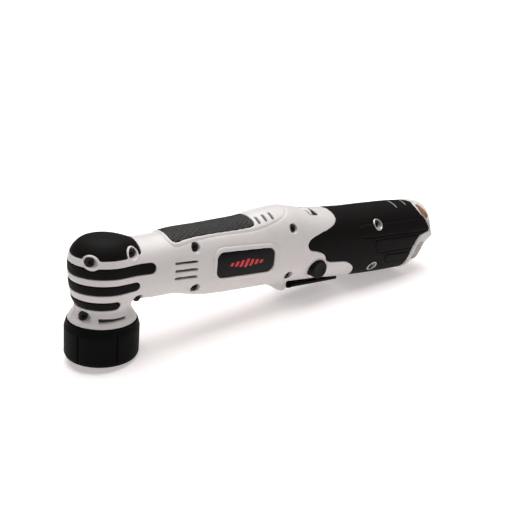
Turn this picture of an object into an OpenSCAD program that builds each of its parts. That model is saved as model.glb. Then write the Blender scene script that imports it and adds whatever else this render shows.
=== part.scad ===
// Cordless right-angle die grinder: a gear head on a round skirt, a motor in the neck and a battery in the tail.
// Origin: on the spindle's axis, at the spindle's open end. +Z runs up the spindle, +X back along the handle.

/* [Skirt and head] */
// Outer diameter of the rubber skirt
skirt_d = 48; // [46:0.5:50]
// Height of the rubber skirt
skirt_h = 26; // [25.5:0.1:26.5]
// Largest radius of the gear head's column
head_r = 21.9; // [21.5:0.1:22.5]
// Height of the head's crown above the skirt's lower edge
head_top = 80.5; // [79.5:0.1:82]

/* [Handle] */
// Height of the motor axis above the spindle's open end
axis_z = 57; // [56.5:0.1:57.5]
// Distance from the spindle axis to the housing's rear edge
housing_end = 284.5; // [282:0.5:287]
// Distance from the spindle axis to the battery's rearmost point
tool_end = 299; // [298:0.5:302]
// Depth of the soft overmould
skin_t = 1.5; // [1.2:0.1:1.6]
// Housing wall, overmould included
wall_t = 3.4; // [3.2:0.1:3.6]

/* [Drive] */
// Teeth on the bevel gear
gear_teeth = 24; // [24:3:27]
// Teeth on the pinion
pinion_teeth = 8; // [8:1:9]
// Module of the bevel gears at their outer ends
gear_module = 1; // [0.95:0.01:1.02]
// Radius of the spindle's bearing journal
spindle_r = 4; // [3.9:0.05:4.1]
// Radius of the spindle's threaded bore
thread_r = 2.5; // [2.4:0.05:3]
// Depth of the spindle's threaded bore
thread_l = 9; // [8:1:10]
// Radius of the armature shaft
shaft_r = 2.5; // [2.4:0.05:2.6]
// Radius of the motor can
motor_r = 17.8; // [17:0.1:18]

/* [Paddle] */
// Distance from the spindle axis to the paddle's pivot
paddle_pivot_x = 190; // [188:0.5:192]
// Height of the paddle's pivot
paddle_pivot_z = 36; // [35.5:0.1:36.5]
// Half the paddle's width
paddle_half = 12.5; // [11:0.1:12.6]

/* [Hidden] */
$fn = 48;
fit = 0.02;
far = 60;
ring_n = 28;
squareness = 2.2;
shell_grey = "gainsboro";
soft_black = "#1c1c1e";

// Sections of the handle along X: [x, centre height, half width, half height].
SECTIONS = [
    [0, 57.5, 19.5, 18.5], [12, 57.2, 20.3, 19.5], [24, 56.6, 20.6, 20.4], [31, 56.5, 20.6, 20.8],
    [38, 57.2, 20.8, 21], [45, 58, 21, 21.8], [52, 57.8, 21.3, 22.8], [60, 57, 21.8, 24], [70, 56.6, 22.3, 25],
    [86, 57, 22.8, 26], [102, 57.7, 23.3, 26.6], [110, 58.6, 23.6, 27.5], [121, 59.9, 24, 28.8],
    [130, 60.6, 24.6, 29.6], [138, 61.1, 25.2, 30.2], [147, 60.3, 26, 29.3], [158, 59.4, 27, 28.4],
    [170, 58.7, 27.6, 28], [182, 58, 28, 28.2], [207, 57, 28.4, 28.8], [222, 57, 28.8, 29.3],
    [240, 57.1, 29, 29.6], [262, 57.3, 29, 29.7], [284.5, 57.2, 28.6, 29.2], [tool_end, 57.2, 28.2, 28.8]
];

// The head's outline from the skirt up to the crown: [radius, height].
HEAD_SIDE = [
    [22.3, skirt_h], [20.4, 29.2], [18.6, 32.5], [18, 35.5], [18.5, 38], [19.8, 41], [21.3, 50], [head_r, 58],
    [head_r, 66], [20.6, 70.6], [18, 74.9], [14, 78.3], [8, head_top - 0.3], [0, head_top]
];

// Housing screws, each running along Y: [x, z, half width of the housing there].
SCREWS = [
    [-14.2, 68.7, 15.8], [11.9, 71.8, 16.5], [-15.7, 31.9, 10.4], [18, 40.2, 14.5], [56.1, 71.5, 17.8],
    [57.5, 43.3, 18.6], [135.5, 78.6, 21.5], [135.8, 42.7, 20.6], [222, 75.3, 23.6], [221, 40.5, 24.7]
];
REAR_SCREWS = [8, 9];
COLLARED_SCREWS = [0, 1, 8, 9];
screw_shank_r = 1.3;
screw_head_r = 2.6;
screw_head_l = 1.8;
screw_well_r = 3.2;
bush_r = 4.6;
screw_well = 4.5;
boss_r = 3.6;
// Rim kept clear round each screw well that crosses a soft part.
collar_w = 1.5;

// Head stripes: [centre height, height, rear tip's x].
STRIPES = [[62, 6.9, 26.8], [51, 6.3, 16.3], [40, 5.9, 3.6]];

// Front edge of the rear grip in side view, from the top down.
GRIP_FRONT = [
    [187, 92], [182.5, 86], [181, 82.5], [178, 79.6], [170.7, 76.4], [159, 73.4], [150.5, 70.2], [147.7, 66.3],
    [150, 62], [157, 60.4], [163, 58], [166.5, 53.5], [170.5, 50.8], [180, 50], [188, 49], [196.5, 44.4],
    [201, 38], [206, 24]
];
// Rear edge of the housing in side view, from the bottom up.
HOUSING_REAR = [
    [270, 20], [266, 36], [264, 46], [266, 55], [272.5, 63], [housing_end, 66.5], [283.4, 72], [281.5, 76.5],
    [278.7, 79.5], [279.5, 84.2], [286, 86.8], [286, 95]
];
// Side edge of the battery's rear end, from the bottom up: [x, z].
BASE_EDGE = [[262, 26], [267, 37.5], [273, 41.5], [278.7, 54.5], [287.6, 62], [285, 68], [280, 95]];
// How far the battery's rear end bulges out behind its side edge.
base_crown = 11;
base_half = 28.6;

plate_x = [71, 118.5];
plate_z = [49, 67.2];
plate_corner = 5.5;
plate_t = 1.2;
vent_x = [41, 56];
vent_z = [52.8, 57.9, 63];
vent_h = 1.6;
top_vents = [110, 115.8, 121.6];
lock_x = 160.5;
lock_z = 46;
lock_r = 7.1;
dial_x = 161.5;
dial_z = 76;
dial_r = 11.4;
dial_w = 5;
switch_x = [140, 157];
switch_z = [38, 52];
// Opening for the paddle: its ends along X, its roof, and the deeper part over the pivot.
paddle_bay_x = [142.2, 197.2];
paddle_bay_z = 36.5;
pivot_bay_x = 184;
pivot_bay_z = 41;
plunger_x = 147.5;
plunger_r = 2.5;
spring_x = 154;
stem_r = 22;
stem_x = 229;
case_end = 279.5;
// Ball bearings: [start along their axis, width, outer radius].
LOWER_BEARING = [9, 7, 11];
UPPER_BEARING = [60, 5, 6.5];
PINION_BEARING = [19, 5, 8];
FRONT_MOTOR_BEARING = [68, 4, 6.5];
REAR_MOTOR_BEARING = [117.5, 4, 6.5];
// Radius of the spindle's upper journal.
journal_r = 2;
// Bolt circle of the bearing plate's screws.
plate_screw_circle = 15;
// Height of the bearing plate's upper face.
plate_top = 8.8;

// ---- Swept surfaces ----

function signed_power(v, p) = sign(v) * pow(abs(v), p);

function section_points(s, inset) = [
    for (i = [0 : ring_n - 1])
        let (a = 360 * i / ring_n)
        [s[0], (s[2] - inset) * signed_power(cos(a), 2 / squareness),
         s[1] + (s[3] - inset) * signed_power(sin(a), 2 / squareness)]
];

function side_faces(rows) = [
    for (r = [0 : rows - 2]) for (i = [0 : ring_n - 1])
        let (a = r * ring_n + i, b = r * ring_n + (i + 1) % ring_n, c = b + ring_n, d = a + ring_n)
        each [[a, d, c], [a, c, b]]
];

// The handle's solid, drawn in by inset, between the first and last of its sections.
module handle_solid(inset = 0, first = 0, last = len(SECTIONS) - 1) {
    rows = last - first + 1;
    points = [for (r = [first : last]) each section_points(SECTIONS[r], inset)];
    front_cap = [[for (i = [0 : ring_n - 1]) i]];
    rear_cap = [[for (i = [ring_n - 1 : -1 : 0]) (rows - 1) * ring_n + i]];
    polyhedron(points = points, faces = concat(side_faces(rows), front_cap, rear_cap), convexity = 4);
}

// The head's turned solid, drawn in by inset.
module head_solid(inset = 0) {
    rotate_extrude($fn = 44)
        polygon(concat([[0, skirt_h]], [for (p = HEAD_SIDE) [max(p[0] - inset, 0), min(p[1], head_top - inset)]]));
}

// The guard that stands below the handle in front of the paddle.
module guard_bump() {
    hull() for (side = [-1, 1]) {
        translate([140.3, side * 9.5, 29.3]) sphere(r = 3.3, $fn = 24);
        translate([137, side * 7, 32]) sphere(r = 5.2, $fn = 24);
        translate([131, side * 6, 34.5]) sphere(r = 4, $fn = 24);
    }
}

module body_solid(inset = 0) {
    handle_solid(inset);
    head_solid(inset);
}

// The outer layer of the body, skin_t deep, where the soft parts lie.
module skin_layer(depth = skin_t) {
    difference() {
        body_solid();
        body_solid(depth);
    }
}

// Turns what it holds into one plain mesh, for smooth shells that carry no bore or pin.
module as_mesh() {
    resize([0, 0, 0]) children();
}

// A flat outline in side view, run through the whole width of the tool.
module side_prism(low = -far, high = far) {
    translate([0, high, 0]) rotate([90, 0, 0]) linear_extrude(high - low) children();
}

module half_space(side) {
    translate([-far, side > 0 ? 0 : -far, -far]) cube([tool_end + 2 * far, far, 3 * far]);
}

module along_x(x0, x1, r, z = axis_z, y = 0) {
    translate([x0, y, z]) rotate([0, 90, 0]) cylinder(r = r, h = x1 - x0);
}

module along_y(x, z, y0, y1, r) {
    translate([x, y0, z]) rotate([-90, 0, 0]) cylinder(r = r, h = y1 - y0);
}

module ring_x(x0, x1, outer_r, inner_r) {
    difference() {
        along_x(x0, x1, outer_r);
        along_x(x0 - 1, x1 + 1, inner_r);
    }
}

module ring_z(z0, z1, outer_r, inner_r) {
    translate([0, 0, z0]) difference() {
        cylinder(r = outer_r, h = z1 - z0);
        translate([0, 0, -1]) cylinder(r = inner_r, h = z1 - z0 + 2);
    }
}

// ---- Outlines of the soft parts ----

module housing_outline(grow = 0) {
    polygon(concat([[-far, 95], [-far, -far], [270 + grow, -far]], [for (p = HOUSING_REAR) [p[0] + grow, p[1]]]));
}

module rear_grip_outline() {
    lip = 1.4;
    polygon(concat(GRIP_FRONT, [for (p = HOUSING_REAR) [p[0] - lip, p[1]]]));
}

module stripe_outline(s) {
    hull() {
        translate([s[2] - s[1] / 2, s[0]]) circle(d = s[1], $fn = 24);
        translate([-far, s[0] - s[1] / 2]) square([1, s[1]]);
    }
}

module cap_outline() {
    polygon([[-far, 69.1], [6, 70], [12.6, 70.6], [15.2, 71.3], [17, 73.4], [18.4, 76.5], [19, 84], [-far, 95]]);
}

module plate_outline(grow = 0) {
    translate([plate_x[0] - grow, plate_z[0] - grow]) hull() for (i = [0, 1], j = [0, 1])
        translate([plate_corner + i * (plate_x[1] - plate_x[0] - 2 * plate_corner + 2 * grow),
                   plate_corner + j * (plate_z[1] - plate_z[0] - 2 * plate_corner + 2 * grow)])
            circle(r = plate_corner, $fn = 24);
}

module grip_plan() {
    translate([0, 0, axis_z + 10]) linear_extrude(far)
        hull() for (x = [44.6, 101.8], side = [-1, 1])
            translate([x, side * 9.2]) circle(r = 4.4, $fn = 24);
}

// ---- Openings in the housing ----

module paddle_opening() {
    side_room = 0.5;
    width = 2 * (paddle_half + side_room);
    translate([paddle_bay_x[0], -width / 2, 0])
        cube([paddle_bay_x[1] - paddle_bay_x[0], width, paddle_bay_z]);
    translate([pivot_bay_x, -width / 2, 0])
        cube([paddle_bay_x[1] - pivot_bay_x, width, pivot_bay_z]);
}

module vent_openings(side) {
    for (z = vent_z) hull() for (x = vent_x)
        along_y(x, z, side > 0 ? 12 : -far, side > 0 ? far : -12, vent_h / 2, $fn = 12);
    for (x = top_vents) hull() for (y = [6.5, 13])
        translate([x, side * y, 74]) cylinder(r = 1, h = 30, $fn = 12);
}

module screw_wells() {
    for (s = SCREWS) {
        along_y(s[0], s[1], -far, -s[2] + screw_well, screw_well_r, $fn = 20);
        along_y(s[0], s[1], -s[2], min(s[2] - 4, 14) + 0.4, screw_shank_r + 0.1, $fn = 14);
    }
}

module bush_seats() {
    for (i = REAR_SCREWS) let (s = SCREWS[i])
        along_y(s[0], s[1], -far, -s[2] + screw_well - 1, bush_r + 0.08, $fn = 32);
}

module bosses(side) {
    for (s = SCREWS) along_y(s[0], s[1], side > 0 ? 0 : -far, side > 0 ? far : 0, boss_r, $fn = 14);
}

module motor_ribs() {
    for (x = [76, 104]) translate([x, -far, 0]) cube([3, 2 * far, 100]);
}

module handle_cavity(side) {
    difference() {
        handle_solid(wall_t, 2, 23);
        translate([-far, -far, -far]) cube([26.5 + far, 2 * far, 3 * far]);
        bosses(side);
        difference() {
            motor_ribs();
            along_x(70, 112, motor_r + 0.25);
        }
    }
}

module head_cavity() {
    translate([0, 0, skirt_h - 1]) cylinder(r = 13.9, h = 15);
    translate([0, 0, 39.6]) cylinder(r = 16.9, h = 67 - 39.6);
    along_x(0, 27, 11.3);
}

module housing_half(side) {
    $fn = 28;
    difference() {
        union() {
            intersection() {
                union() {
                    body_solid();
                    guard_bump();
                }
                half_space(side);
            }
            plate_border(side);
        }
        difference() {
            translate([-far, -far, -far]) cube([2 * tool_end, 2 * far, 4 * far]);
            side_prism() housing_outline();
        }
        handle_cavity(side);
        battery_bay();
        head_cavity();
        soft_zones(side);
        paddle_opening();
        vent_openings(side);
        screw_wells();
        bush_seats();
        lock_opening();
        dial_opening();
        nose_slot(side);
        paddle_pin_hole();
    }
}

module plate_border(side) {
    intersection() {
        difference() {
            handle_solid(-0.5, 6, 14);
            handle_solid(1, 6, 14);
        }
        half_space(side);
        side_prism() plate_outline(1.4);
    }
}

// Everything soft, or set in, that the housing is cut back for.
module soft_zones(side) {
    difference() {
        union() {
            side_prism() cap_outline();
            for (s = STRIPES) side_prism() stripe_outline(s);
            side_prism() rear_grip_outline();
            grip_plan();
        }
        body_solid(skin_t);
    }
    difference() {
        intersection() {
            side_prism() plate_outline(0.03);
            half_space(side);
        }
        body_solid(plate_t + 0.03);
    }
}

// The round way in for the battery's stem.
module battery_bay() {
    along_x(stem_x - 1.5, housing_end + 20, stem_r + 0.6);
}

module lock_opening() {
    along_y(lock_x, lock_z, -far, far, lock_r + 0.15);
}

module dial_opening() {
    translate([dial_x - dial_w / 2 - 2, -12.5, axis_z + 20]) cube([dial_w + 4, 25, 30]);
}

// The curved slot low on the head.
module nose_slot(side) {
    if (side < 0) intersection() {
        ring_z(30.8, 32.6, 30, 19);
        translate([-9, -40, 20]) cube([16, 25, 20]);
    }
}

module paddle_pin_hole() {
    along_y(paddle_pivot_x, paddle_pivot_z, -15, 15, 1.52, $fn = 24);
}

module left_housing() {
    color(shell_grey) as_mesh() housing_half(-1);
}

module right_housing() {
    color(shell_grey) as_mesh() housing_half(1);
}

// ---- Soft parts and trim ----

module soft_part(depth = skin_t) {
    as_mesh() difference() {
        intersection() {
            skin_layer(depth);
            children();
        }
        screw_collars();
        lock_opening();
    }
}

// Room round each screw well that crosses a soft part.
module screw_collars() {
    for (i = COLLARED_SCREWS) let (s = SCREWS[i]) along_y(s[0], s[1], -far, 0, screw_well_r + collar_w, $fn = 24);
}

module head_cap() {
    color(soft_black) soft_part() side_prism() cap_outline();
}

module stripe(s) {
    color(soft_black) soft_part() side_prism() stripe_outline(s);
}

module top_grip() {
    color(soft_black) soft_part() grip_plan();
}

module rear_grip(side) {
    color(soft_black) soft_part() intersection() {
        side_prism() rear_grip_outline();
        half_space(side);
    }
}

module name_plate(side) {
    color(soft_black) as_mesh() intersection() {
        skin_layer(plate_t);
        side_prism() plate_outline();
        half_space(side);
    }
}

module skirt() {
    grooves = 6;
    groove_w = 0.8;
    groove_depth = 0.6;
    color(soft_black) difference() {
        rotate_extrude($fn = 96) polygon([
            [20.3, 0], [skirt_d / 2 - 2.6, 0], [skirt_d / 2 - 0.8, 0.8], [skirt_d / 2, 2.6],
            [skirt_d / 2, skirt_h - 5.4], [22.3, skirt_h], [14.2, skirt_h], [14.2, skirt_h - 1.4],
            [20.3, skirt_h - 1.4]
        ]);
        for (i = [0 : grooves - 1]) rotate(30 + i * 360 / grooves)
            translate([skirt_d / 2 - groove_depth, -groove_w / 2, -1]) cube([5, groove_w, skirt_h - 3.5]);
    }
}

// ---- Gear head ----

module gear_case() {
    color("silver") difference() {
        union() {
            cylinder_between(plate_top + 0.1, skirt_h - 1.45, 20.2);
            cylinder_between(20, 39, 13.6);
            cylinder_between(39.8, 66, 16.6);
            cylinder_between(36, 41, 13.6);
            along_x(5, 25.5, 11);
        }
        cylinder_between(8, LOWER_BEARING[0] + LOWER_BEARING[1] + 0.1, LOWER_BEARING[2]);
        cylinder_between(16, 46, 5);
        cylinder_between(45, 59.9, 13.3);
        cylinder_between(59, UPPER_BEARING[0] + UPPER_BEARING[1], UPPER_BEARING[2]);
        along_x(0, 19, 6.6);
        along_x(18.9, 26, PINION_BEARING[2]);
        plate_screw_places() cylinder(r = 1.5, h = 7.2);
    }
}

module cylinder_between(z0, z1, r) {
    translate([0, 0, z0]) cylinder(r = r, h = z1 - z0);
}

module plate_screw_places() {
    for (i = [0 : 3]) rotate(45 + 90 * i) translate([plate_screw_circle, 0, plate_top]) children();
}

module bearing_plate() {
    color("silver") difference() {
        ring_z(6.7, plate_top, 20, 5);
        plate_screw_places() translate([0, 0, -5]) cylinder(r = 1.5, h = 10);
    }
}

module plate_screws() {
    color("dimgray") plate_screw_places() {
        translate([0, 0, -2.1]) cylinder(r = 1.48, h = 8.4);
        translate([0, 0, -4.1]) difference() {
            cylinder(r = 2.75, h = 2);
            translate([0, 0, -1]) cylinder(r = 1.2, h = 2, $fn = 6);
        }
    }
}

// A ball bearing as its closed ring: bore, outside and width.
module bearing_z(b, bore_r) {
    z0 = b[0];
    width = b[1];
    outer_r = b[2] - fit;
    color("lightsteelblue") difference() {
        ring_z(z0, z0 + width, outer_r, bore_r);
        for (z = [z0 - 0.2, z0 + width - 0.4])
            ring_z(z, z + 0.6, (bore_r + outer_r) / 2 + 1.2, (bore_r + outer_r) / 2 - 1.2);
    }
}

module bearing_x(b, bore_r) {
    x0 = b[0];
    width = b[1];
    outer_r = b[2] - fit;
    color("lightsteelblue") difference() {
        ring_x(x0, x0 + width, outer_r, bore_r);
        for (x = [x0 - 0.2, x0 + width - 0.4])
            ring_x(x, x + 0.6, (bore_r + outer_r) / 2 + 1, (bore_r + outer_r) / 2 - 1);
    }
}

module lower_bearing() {
    bearing_z(LOWER_BEARING, spindle_r + fit);
}

module upper_bearing() {
    bearing_z(UPPER_BEARING, journal_r + fit);
}

module spindle() {
    color("silver") difference() {
        union() {
            difference() {
                cylinder(r = 9, h = 6.2);
                for (side = [-1, 1])
                    translate([side > 0 ? 7.5 : -9.5, -10, -1]) cube([2, 20, 5.2]);
            }
            cylinder_between(6, 53, spindle_r);
            cylinder_between(53, 65, journal_r);
        }
        translate([0, 0, -0.01]) cylinder(r = thread_r, h = thread_l + 0.01);
    }
}

module spindle_clip() {
    color("dimgray") ring_z(17, 18, 4.9, spindle_r);
}

// Cone geometry of the gear pair; its apex is where the two axes cross.
gear_r = gear_teeth * gear_module / 2;
pinion_r = pinion_teeth * gear_module / 2;
cone_l = norm([gear_r, pinion_r]);
gear_angle = atan(gear_teeth / pinion_teeth);
pinion_angle = 90 - gear_angle;
face_l = 4.6;
addendum = 0.75 * gear_module;
dedendum = 1.15 * gear_module;

// One straight bevel tooth on the pitch line along +X, standing up along +Z and tapering to the apex.
module bevel_tooth(root_share = 0.56, tip_share = 0.26) {
    pitch = PI * gear_module;
    hull() for (l = [cone_l - face_l, cone_l - 0.02])
        let (k = l / cone_l)
        translate([l, 0, 0]) rotate([90, 0, 90]) linear_extrude(0.02) polygon([
            [-root_share * pitch * k / 2, -dedendum], [root_share * pitch * k / 2, -dedendum],
            [tip_share * pitch * k / 2, addendum * k], [-tip_share * pitch * k / 2, addendum * k]
        ]);
}

// A bevel gear with its apex at the origin and its teeth facing +Z; body_back is its blank's far side.
module bevel_wheel(teeth, angle, hub_r, hub_back, bore_r, turn) {
    root = dedendum - 0.02;
    inner = cone_l - face_l;
    inner_root = [inner * sin(angle) - root * cos(angle), -inner * cos(angle) - root * sin(angle)];
    outer_root = [cone_l * sin(angle) - root * cos(angle), -cone_l * cos(angle) - root * sin(angle)];
    difference() {
        union() {
            rotate_extrude($fn = 36) polygon([
                [0, inner_root[1]], inner_root, outer_root, [outer_root[0], outer_root[1] - 0.8],
                [hub_r, outer_root[1] - 1.2], [hub_r, -hub_back], [0, -hub_back]
            ]);
            for (i = [0 : teeth - 1]) rotate(turn + i * 360 / teeth) rotate([0, 90 - angle, 0]) bevel_tooth();
        }
        if (bore_r > 0) translate([0, 0, -hub_back - 1]) cylinder(r = bore_r, h = hub_back + 2);
    }
}

module bevel_gear() {
    color("dimgray") translate([0, 0, axis_z])
        bevel_wheel(gear_teeth, gear_angle, 7, 10.2, spindle_r + fit, 0);
}

module pinion() {
    color("dimgray") difference() {
        translate([0, 0, axis_z]) rotate([0, -90, 0])
            bevel_wheel(pinion_teeth, pinion_angle, 3.4, 18.6, 0, 180 / pinion_teeth);
        along_x(14, 20, shaft_r + fit);
    }
}

// ---- Motor ----

module armature_shaft() {
    color("silver") along_x(14.2, 124, shaft_r);
}

module pinion_bearing() {
    bearing_x(PINION_BEARING, shaft_r + fit);
}

module front_motor_bearing() {
    bearing_x(FRONT_MOTOR_BEARING, shaft_r + fit);
}

module rear_motor_bearing() {
    bearing_x(REAR_MOTOR_BEARING, shaft_r + fit);
}

module fan() {
    blades = 9;
    color("black") {
        ring_x(62, 67, 6, shaft_r);
        ring_x(66, 67, 16.3, 5.9);
        for (i = [0 : blades - 1]) translate([0, 0, axis_z]) rotate([i * 360 / blades, 0, 0])
            translate([62, -0.5, 5.8]) cube([4.5, 1, 10.2]);
    }
}

module motor_front_plate() {
    color("silver") ring_x(68, 72, motor_r, FRONT_MOTOR_BEARING[2]);
}

module motor_can() {
    color("silver") ring_x(72, 116, motor_r, motor_r - 1.5);
}

module magnets() {
    color("dimgray") difference() {
        ring_x(76, 106, motor_r - 1.55, 13.9);
        translate([70, -9, axis_z - 30]) cube([40, 18, 60]);
    }
}

module armature_core() {
    slots = 7;
    color("slategray") difference() {
        ring_x(77, 103, 13.4, shaft_r);
        for (i = [0 : slots - 1]) translate([70, 0, axis_z]) rotate([i * 360 / slots, 0, 0])
            translate([0, -1.2, 7]) cube([40, 2.4, 10]);
    }
}

module windings() {
    color("peru") {
        ring_x(73, 77, 11.5, 4);
        ring_x(103, 107, 11.5, 4);
    }
}

module commutator() {
    segments = 7;
    color("peru") difference() {
        ring_x(108, 116, 6, shaft_r);
        for (i = [0 : segments - 1]) translate([107, 0, axis_z]) rotate([i * 360 / segments, 0, 0])
            translate([0, -0.2, 5.3]) cube([8, 0.4, 2]);
    }
}

module brushes() {
    color("dimgray") for (side = [-1, 1])
        translate([109.5, -2, axis_z + (side > 0 ? 6.06 : -15.9)]) cube([5, 4, 9.84]);
}

module motor_end_bell() {
    color("black") {
        ring_x(117, 122, motor_r, REAR_MOTOR_BEARING[2]);
        ring_x(116, 117, motor_r, 7.5);
    }
}

// The two leads from the end bell to the control board.
module motor_leads() {
    color("firebrick") for (side = [-1, 1]) along_x(122, 172, 0.9, 70, side * 11.5);
}

// ---- Paddle and switch ----

module paddle() {
    toe = 143.9;
    heel = 196.4;
    under = 26.8;
    color(soft_black) difference() {
        union() {
            translate([0, paddle_half, 0]) rotate([90, 0, 0]) linear_extrude(2 * paddle_half) polygon([
                [toe, under - 0.4], [toe + 5, under + 0.2], [heel - 2, under + 0.6], [heel, under + 2],
                [heel, under + 4.2], [toe + 8, under + 4.2], [toe + 4, under + 3.4], [toe, under + 1]
            ]);
            for (side = [-1, 1]) translate([0, side * 9 + 1.5, 0]) rotate([90, 0, 0]) linear_extrude(3)
                polygon([[186, under + 3], [195, under + 3], [193.4, 38], [186.6, 38]]);
        }
        along_y(paddle_pivot_x, paddle_pivot_z, -30, 30, 1.5 + fit);
    }
}

module paddle_pin() {
    color("silver") along_y(paddle_pivot_x, paddle_pivot_z, -14.8, 14.8, 1.5);
}

module paddle_spring() {
    color("silver") difference() {
        cylinder_at(spring_x, 0, 31.05, switch_z[0], 2.8);
        cylinder_at(spring_x, 0, 30, switch_z[0] + 1, 2);
    }
}

module cylinder_at(x, y, z0, z1, r) {
    translate([x, y, z0]) cylinder(r = r, h = z1 - z0);
}

module switch_body() {
    color("black") difference() {
        translate([switch_x[0], -9, switch_z[0]]) cube([switch_x[1] - switch_x[0], 18, switch_z[1] - switch_z[0]]);
        cylinder_at(plunger_x, 0, switch_z[0] - 1, 47, plunger_r + 0.05);
    }
}

module switch_plunger() {
    color("firebrick") cylinder_at(plunger_x, 0, 31.6, 42, plunger_r);
}

module control_board() {
    color("darkgreen") {
        translate([168, -14, 66]) cube([36, 28, 1.6]);
        translate([168, -6, 67.6]) cube([4, 12, 12]);
        translate([180, -8, 67.6]) cube([14, 16, 4]);
        for (y = [-10, 7]) translate([197, y, 67.6]) cube([5, 4, 5]);
    }
}

module dial_shaft() {
    color("silver") along_x(dial_x - dial_w / 2 - 1, 168, 1.5, dial_z);
}

module speed_dial() {
    notches = 30;
    color("whitesmoke") difference() {
        along_x(dial_x - dial_w / 2, dial_x + dial_w / 2, dial_r, dial_z);
        along_x(dial_x - dial_w, dial_x + dial_w, 1.5 + fit, dial_z);
        for (i = [0 : notches - 1]) translate([dial_x - dial_w, 0, dial_z]) rotate([i * 360 / notches, 0, 0])
            translate([0, -0.4, dial_r - 0.5]) cube([2 * dial_w, 0.8, 2]);
    }
}

module lock_button() {
    color(soft_black) {
        along_y(lock_x, lock_z, -26.9, -14, lock_r);
        along_y(lock_x, lock_z, -14, 14, 3.2);
        along_y(lock_x, lock_z, 14, 21.6, lock_r);
    }
}

// ---- Battery ----

module contact_block() {
    color("black") difference() {
        translate([207, -10, 47]) cube([19, 20, 20]);
        for (y = [-6, 0, 6]) translate([214, y - 0.5, 51]) cube([20, 1, 12]);
    }
}

module contact_blades() {
    color("gold") for (y = [-6, 0, 6]) translate([214, y - 0.4, 51]) cube([24, 0.8, 12]);
}

module battery_case() {
    color(soft_black) difference() {
        along_x(stem_x, case_end, stem_r);
        along_x(stem_x + 14, case_end + 1, stem_r - 1.8);
        for (y = [-6, 0, 6]) translate([stem_x - 1, y - 0.8, 50.2]) cube([14, 1.6, 13.6]);
    }
}

module battery_terminals() {
    color("gold") for (y = [-6, 0, 6]) for (side = [-1, 1])
        translate([stem_x + 10.2, y + (side > 0 ? 0.45 : -0.75), 51]) cube([2.7, 0.3, 12]);
}

module battery_cells() {
    cell_r = 9.1;
    cell_l = 35;
    color("steelblue") for (i = [0 : 2])
        along_x(stem_x + 14.5, stem_x + 14.5 + cell_l, cell_r, axis_z + 10.7 * cos(i * 120), 10.7 * sin(i * 120));
}

// Zone of one latch in side view.
module latch_outline(grow = 0) {
    polygon([
        [268.4 - grow, 43 - grow], [267.4 - grow, 46], [269 - grow, 53.6], [271.6 - grow, 56.4 + grow],
        [276 + grow, 56.4 + grow], [274.4 + grow, 48], [273 + grow, 43 - grow]
    ]);
}

// The battery's rear end at one height, bulged out behind its side edge.
module base_slice(p) {
    rows = 5;
    translate([0, 0, p[1]]) linear_extrude(0.01) polygon(concat(
        [[200, base_half + 2], [200, -base_half - 2], [p[0] - 3, -base_half - 2]],
        [for (i = [-rows : rows]) [p[0] + base_crown * (1 - pow(i / rows, 2)), base_half * i / rows]],
        [[p[0] - 3, base_half + 2]]
    ));
}

module base_end() {
    for (i = [0 : len(BASE_EDGE) - 2]) hull() {
        base_slice(BASE_EDGE[i]);
        base_slice(BASE_EDGE[i + 1]);
    }
}

module latch(side) {
    sunk = side * 1.2;
    color(shell_grey) as_mesh() intersection() {
        translate([0, -sunk, 0]) difference() {
            handle_solid(1.2, 20);
            handle_solid(3.4, 20);
        }
        side_prism() latch_outline();
        half_space(side);
    }
}

module battery_base() {
    color(shell_grey) as_mesh() difference() {
        intersection() {
            handle_solid(0, 20);
            base_end();
            difference() {
                translate([200, -far, 0]) cube([200, 2 * far, 120]);
                side_prism() housing_outline(0.6);
            }
        }
        difference() {
            intersection() {
                side_prism() latch_outline(0.4);
                translate([200, -far, 0]) cube([200, 2 * far, 120]);
            }
            handle_solid(7.2, 20);
        }
        along_x(200, case_end + 0.2, stem_r + 0.15);
    }
}

// ---- Fasteners ----

module housing_screws() {
    color("dimgray") for (s = SCREWS) difference() {
        union() {
            along_y(s[0], s[1], -s[2] + screw_well - screw_head_l, -s[2] + screw_well, screw_head_r, $fn = 24);
            along_y(s[0], s[1], -s[2] + screw_well, min(s[2] - 4, 14), screw_shank_r, $fn = 16);
        }
        translate([s[0], -s[2] + screw_well - 0.6, s[1]]) rotate([90, 0, 0]) cylinder(r = 1.2, h = 2, $fn = 6);
    }
}

module screw_bushes() {
    color("silver") as_mesh() for (i = REAR_SCREWS) let (s = SCREWS[i]) intersection() {
        difference() {
            along_y(s[0], s[1], -far, -s[2] + screw_well - 1, bush_r, $fn = 32);
            along_y(s[0], s[1], -far - 1, 0, screw_well_r, $fn = 32);
        }
        handle_solid(-0.4, 18);
    }
}

left_housing();
right_housing();
head_cap();
stripe(STRIPES[0]);  // upper_stripe
stripe(STRIPES[1]);  // middle_stripe
stripe(STRIPES[2]);  // lower_stripe
top_grip();
rear_grip(-1);  // left_rear_grip
rear_grip(1);  // right_rear_grip
name_plate(-1);  // left_name_plate
name_plate(1);  // right_name_plate
skirt();
gear_case();
bearing_plate();
plate_screws();
lower_bearing();
upper_bearing();
spindle();
spindle_clip();
bevel_gear();
pinion();
armature_shaft();
pinion_bearing();
front_motor_bearing();
rear_motor_bearing();
fan();
motor_front_plate();
motor_can();
magnets();
armature_core();
windings();
commutator();
brushes();
motor_end_bell();
motor_leads();
paddle();
paddle_pin();
paddle_spring();
switch_body();
switch_plunger();
control_board();
dial_shaft();
speed_dial();
lock_button();
contact_block();
contact_blades();
housing_screws();
screw_bushes();
battery_case();
battery_base();
battery_cells();
battery_terminals();
latch(-1);  // left_latch
latch(1);  // right_latch
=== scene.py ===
"""Looks of a cordless right-angle die grinder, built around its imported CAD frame.

Shells and soft parts are surfaces of signed distance fields. A field is a function of x, y and z in
millimetres, in the CAD frame, that is negative inside the piece. solid() meshes one and hands it to its body.
"""

import math

import bpy
import numpy as np
import openvdb
from mathutils import Matrix, Vector


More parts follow.
